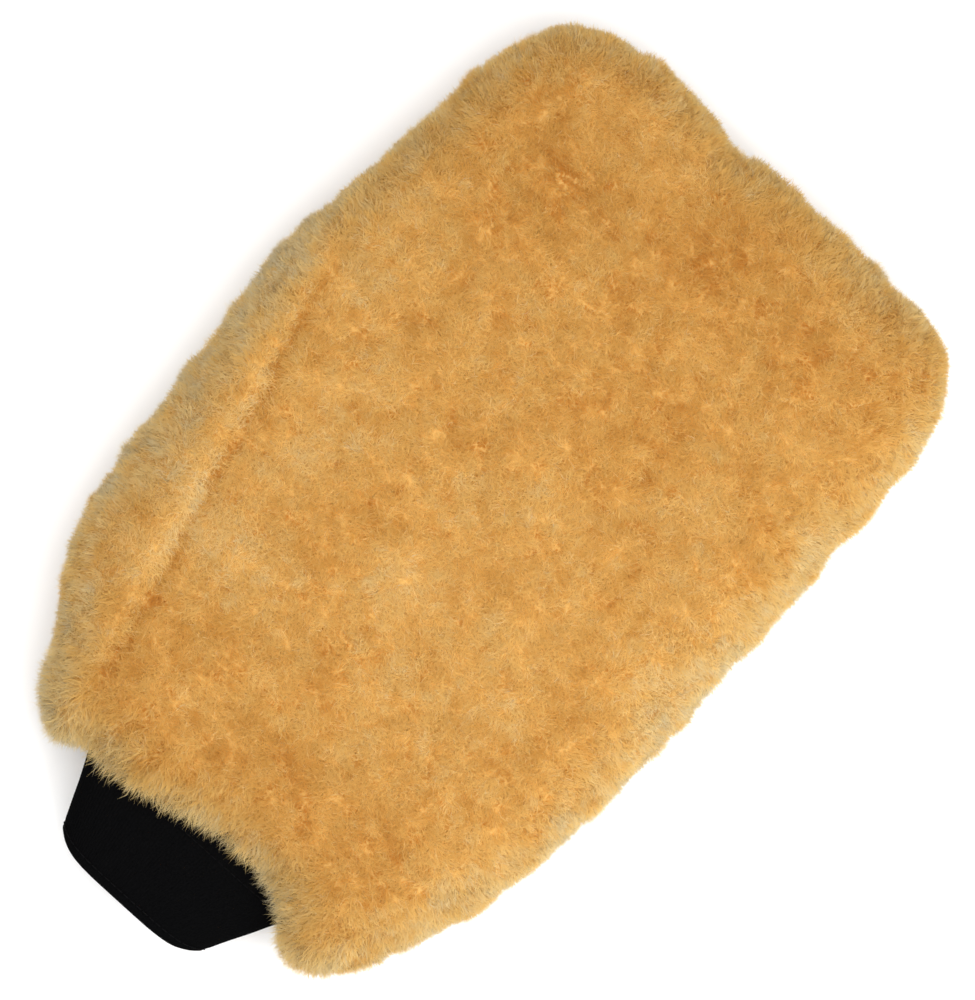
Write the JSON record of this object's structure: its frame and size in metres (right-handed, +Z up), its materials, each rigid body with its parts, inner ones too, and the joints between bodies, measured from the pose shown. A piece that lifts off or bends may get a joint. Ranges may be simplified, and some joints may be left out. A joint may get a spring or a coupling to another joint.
{
  "type": "wash mitt",
  "caption": "Padded rectangular car wash mitt in long honey plush pile, with a lined hand pocket and a black elastic wrist cuff.",
  "frame": {"origin": "on the surface the mitt lies on, under the middle of its bounding box", "axes": "+Y from the cuff to the fingertip end, +Z up out of the front panel, +X to the right as seen from above with the cuff nearest"},
  "size_m": [0.189, 0.299, 0.058],
  "materials": {
    "honey_plush": "long synthetic lambswool pile, honey gold, deep orange at its roots and cream at its tips, matt with a soft sheen",
    "backing_cloth": "tan knitted backing cloth laminated behind the pile, matt",
    "foam": "open-cell polyurethane foam sheet, cream, matt",
    "lining_cloth": "charcoal tricot lining, fine knit, slight sheen",
    "seam_tape": "dark grey woven seam tape, matt",
    "seam_thread": "honey polyester overlock thread",
    "black_cuff": "near-black dense elastic knit, fine ribs along the arm, matt",
    "white_elastic": "white woven elastic, matt",
    "black_thread": "black polyester sewing thread, satin"
  },
  "bodies": {
    "root": {"front_plush": "honey_plush", "back_plush": "honey_plush", "side_plush": "honey_plush", "front_backing": "backing_cloth", "back_backing": "backing_cloth", "side_backing": "backing_cloth", "front_padding": "foam", "back_padding": "foam", "lining_front": "lining_cloth", "lining_back": "lining_cloth", "lining_seam_thread": "seam_thread", "front_seam_binding": "seam_tape", "back_seam_binding": "seam_tape", "front_seam_thread": "seam_thread", "back_seam_thread": "seam_thread", "cuff_fabric": "black_cuff", "cuff_elastic": "white_elastic", "cuff_hem_thread": "black_thread", "cuff_channel_thread": "black_thread", "cuff_root_thread": "black_thread", "cuff_side_thread": "black_thread", "cuff_root_tape": "seam_tape"}
  },
  "joints": []
}
